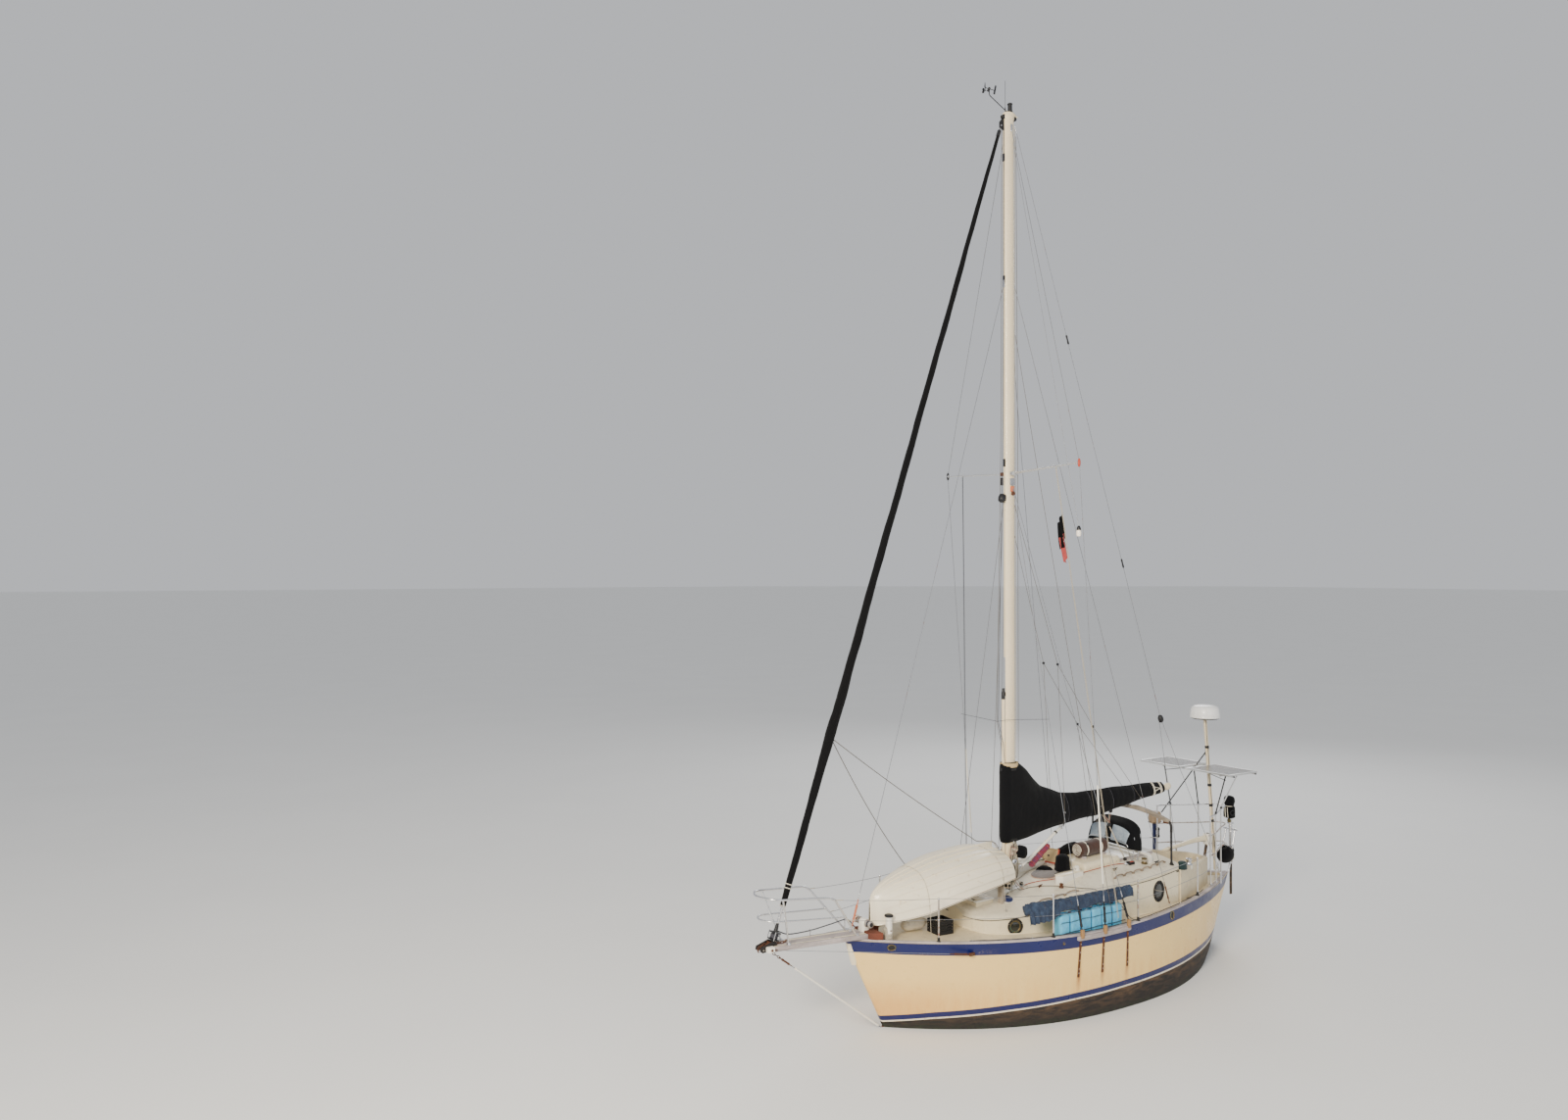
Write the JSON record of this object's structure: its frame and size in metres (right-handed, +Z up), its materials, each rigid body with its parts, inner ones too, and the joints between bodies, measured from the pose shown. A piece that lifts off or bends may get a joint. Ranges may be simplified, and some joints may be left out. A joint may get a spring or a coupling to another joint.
{
  "type": "sailing yacht",
  "caption": "Double-ended cruising cutter with a long keel, raised cabin, bow platform, upturned dinghy on the foredeck, boom gallows and a stern arch with solar panels and radar dome.",
  "frame": {"origin": "on the waterline and the centreline, amidships between the two ends of the deck", "axes": "+X to the bow, +Y to port, +Z up the mast"},
  "size_m": [10.0382, 2.932, 14.988],
  "materials": {
    "gelcoat": "aged cream gelcoat",
    "deck": "worn non-slip",
    "steel": "stainless tube",
    "wire": "stranded wire and turnbuckles",
    "mast": "cream painted spar",
    "canvas": "black acrylic canvas",
    "bronze": "dull bronze",
    "wood": "weathered grey-brown",
    "dinghy": "off-white gelcoat",
    "antifoul": "black bottom paint",
    "can": "light blue",
    "tarp": "dark blue",
    "brown": "dark brown",
    "panel": "brown-grey cells under glass",
    "white": "white",
    "iron": "dark"
  },
  "bodies": {
    "hull_body": {"hull": "gelcoat", "cap_rail": "wood", "cabin_trunk": "gelcoat", "sea_hood": "gelcoat", "coach_roof": "deck", "washboards": "wood", "cockpit_coaming": "gelcoat", "rudder_heel": "bronze", "bowsprit_platform": "white", "bow_roller": "iron", "pulpit": "steel", "bobstay": "steel", "whisker_stay_port": "wire", "whisker_stay_starboard": "wire", "mast": "mast", "masthead_fitting": "mast", "spreaders": "mast", "cap_shroud_port": "wire", "lower_shrouds_port": "wire", "cap_shroud_starboard": "wire", "lower_shrouds_starboard": "wire", "furled_headsail": "canvas", "furling_drum": "iron", "inner_forestay": "wire", "backstay": "wire", "gooseneck_bracket": "steel", "luff_cover": "canvas", "whisker_pole": "white", "lifelines_port": "steel", "lifelines_starboard": "steel", "stern_rail": "steel", "radar_pole": "steel", "radar_dome": "white", "solar_panel_port": "panel", "solar_panel_starboard": "panel", "solar_frame": "steel", "wind_vane_gear": "iron", "stern_bag": "canvas", "outboard_motor": "white", "dinghy": "dinghy", "dinghy_chock": "wood", "dinghy_bow_block": "wood", "windlass": "white", "bollard": "white", "fender": "white", "deck_crate": "canvas", "forehatch": "gelcoat", "roof_roll": "brown", "traveller_arch": "white", "dodger": "canvas", "boom_gallows": "wood", "water_cans": "can", "tarp_roll": "tarp"},
    "rudder_body": {"rudder": "antifoul", "tiller": "wood"},
    "propeller_body": {"propeller": "bronze"},
    "boom_body": {"boom": "mast", "boom_sail_cover": "canvas", "boom_vang": "white"},
    "hatch_body": {"companionway_hatch": "white"}
  },
  "joints": [
    {"name": "rudder_turn", "type": "hinge", "parent": "hull_body", "child": "rudder_body", "pos_m": [-2.95, 0, -1.12], "axis": [-0.2289, 0, 0.9735], "range_deg": [-35, 35]},
    {"name": "propeller_spin", "type": "hinge", "parent": "hull_body", "child": "propeller_body", "pos_m": [-2.895, 0, -0.735], "axis": [1, 0, 0], "continuous": true},
    {"name": "boom_swing", "type": "hinge", "parent": "hull_body", "child": "boom_body", "pos_m": [0.9, 0, 2.45], "axis": [0, 0, 1], "range_deg": [-50, 50]},
    {"name": "hatch_slide", "type": "slide", "parent": "hull_body", "child": "hatch_body", "axis": [0.9989, 0, -0.046], "range_m": [0, 0.55]}
  ]
}
